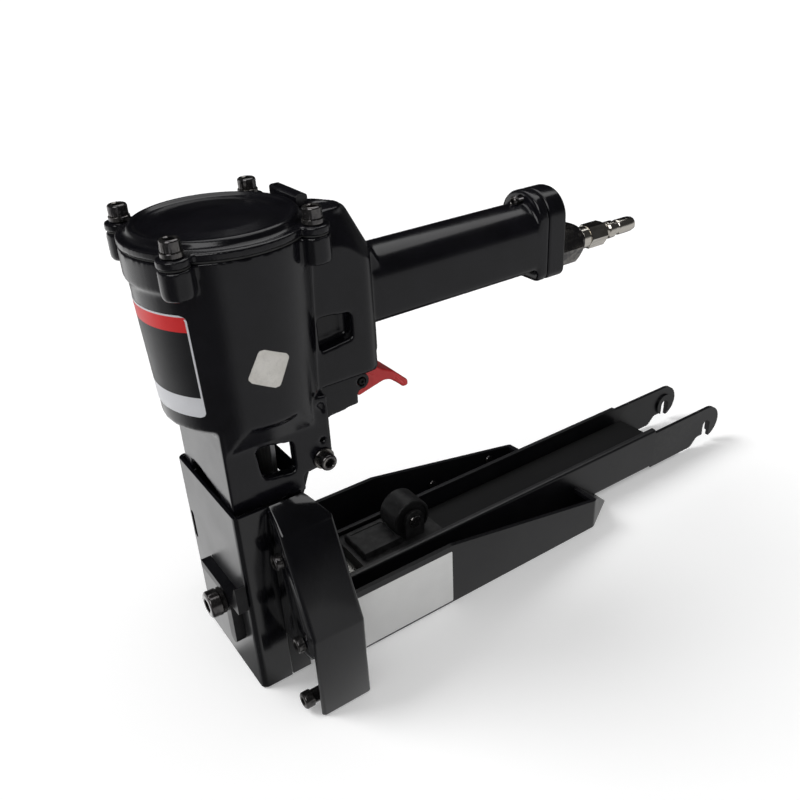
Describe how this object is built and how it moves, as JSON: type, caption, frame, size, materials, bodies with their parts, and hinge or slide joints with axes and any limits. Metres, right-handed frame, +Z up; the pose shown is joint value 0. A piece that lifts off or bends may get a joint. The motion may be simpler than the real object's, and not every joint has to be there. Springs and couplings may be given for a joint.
{
  "type": "carton closing stapler",
  "caption": "Air driven carton stapler: cylinder and handle over a nose with swinging clinchers, and a long magazine lying in a base tray",
  "frame": {"origin": "centre of the bounding box, on the plane that the base tray rests on", "axes": "+X back along the magazine, +Y to the tool right hand side, +Z up along the cylinder"},
  "size_m": [0.391, 0.136, 0.2409],
  "materials": {
    "casting_black": "cast alloy painted satin black",
    "sheet_black": "steel sheet painted gloss black",
    "moulded_black": "black moulded plastic, fine grained",
    "screw_black": "black chromed steel",
    "nickel": "nickel plated steel",
    "tool_steel": "hardened steel, ground",
    "trigger_red": "red moulded plastic",
    "rubber_black": "black rubber",
    "piston_aluminium": "turned aluminium"
  },
  "bodies": {
    "tool_body": {"main_housing": "casting_black", "cylinder_cap": "casting_black", "exhaust_cover": "casting_black", "handle_end_cap": "casting_black", "front_plate": "sheet_black", "nose_front_block": "sheet_black", "nose_back_plate": "sheet_black", "adjuster_bracket": "sheet_black", "side_guard_left": "sheet_black", "side_guard_right": "sheet_black", "base_frame": "sheet_black", "magazine_channel": "sheet_black", "cap_screw_1": "screw_black", "cap_screw_2": "screw_black", "cap_screw_3": "screw_black", "cap_screw_4": "screw_black", "end_cap_screw": "screw_black", "hex_bushing": "screw_black", "trigger_pin": "screw_black", "lock_nut": "screw_black", "guard_screw_left_upper": "screw_black", "guard_screw_left_lower": "screw_black", "guard_screw_right_upper": "screw_black", "guard_screw_right_lower": "screw_black", "guard_stud_left": "screw_black", "guard_stud_right": "screw_black", "neck_bolt_left": "screw_black", "neck_bolt_right": "screw_black", "base_rivet_1": "screw_black", "base_rivet_2": "screw_black", "base_rivet_3": "screw_black", "base_rivet_4": "screw_black", "coupler_plug": "nickel", "staple_stick": "nickel", "valve_spring": "nickel", "cylinder_sleeve": "tool_steel", "clincher_pin_left": "tool_steel", "clincher_pin_right": "tool_steel", "staple_core": "tool_steel", "trigger_valve_body": "tool_steel", "cap_gasket": "rubber_black", "bumper": "rubber_black"},
    "drive_train": {"piston": "piston_aluminium", "piston_ring": "rubber_black", "driver_blade": "tool_steel", "crosshead": "tool_steel"},
    "left_clincher": {"clincher_left": "tool_steel"},
    "right_clincher": {"clincher_right": "tool_steel"},
    "trigger_lever": {"trigger": "trigger_red"},
    "valve_plunger": {"valve_stem": "tool_steel"},
    "pusher_carriage": {"pusher": "moulded_black", "drum_axle": "screw_black"},
    "coil_drum": {"spring_drum": "moulded_black"},
    "depth_screw": {"adjuster_screw": "screw_black"}
  },
  "joints": [
    {"name": "driver_slide", "type": "slide", "parent": "tool_body", "child": "drive_train", "axis": [0, 0, -1], "range_m": [0, 0.024]},
    {"name": "left_clincher_swing", "type": "hinge", "parent": "tool_body", "child": "left_clincher", "pos_m": [-0.1502, -0.0235, 0.026], "axis": [1, 0, 0], "range_deg": [0, 73]},
    {"name": "right_clincher_swing", "type": "hinge", "parent": "tool_body", "child": "right_clincher", "pos_m": [-0.1502, 0.0235, 0.026], "axis": [1, 0, 0], "range_deg": [-73, 0]},
    {"name": "trigger_pull", "type": "hinge", "parent": "tool_body", "child": "trigger_lever", "pos_m": [-0.0955, 0, 0.1415], "axis": [0, -1, 0], "range_deg": [0, 9], "stiffness_Nm_per_rad": 0.05, "springref_deg": -22.92},
    {"name": "valve_slide", "type": "slide", "parent": "tool_body", "child": "valve_plunger", "axis": [0, 0, 1], "range_m": [0, 0.0013], "stiffness_N_per_m": 20, "springref_m": -0.004, "deforming": ["valve_spring"]},
    {"name": "pusher_slide", "type": "slide", "parent": "tool_body", "child": "pusher_carriage", "axis": [1, 0, 0], "range_m": [0, 0.178], "stiffness_N_per_m": 20, "springref_m": -0.3},
    {"name": "drum_spin", "type": "hinge", "parent": "pusher_carriage", "child": "coil_drum", "pos_m": [-0.067, 0, 0.04], "axis": [0, 1, 0], "range_deg": [0, 851]},
    {"name": "adjuster_turn", "type": "hinge", "parent": "tool_body", "child": "depth_screw", "pos_m": [-0.1745, -0.016, 0.052], "axis": [1, 0, 0], "range_deg": [-180, 180]}
  ],
  "couplings": [
    {"joint": "left_clincher_swing", "follows": "driver_slide", "rad_per_m": 53},
    {"joint": "right_clincher_swing", "follows": "driver_slide", "rad_per_m": -53},
    {"joint": "drum_spin", "follows": "pusher_slide", "rad_per_m": 83.3}
  ]
}
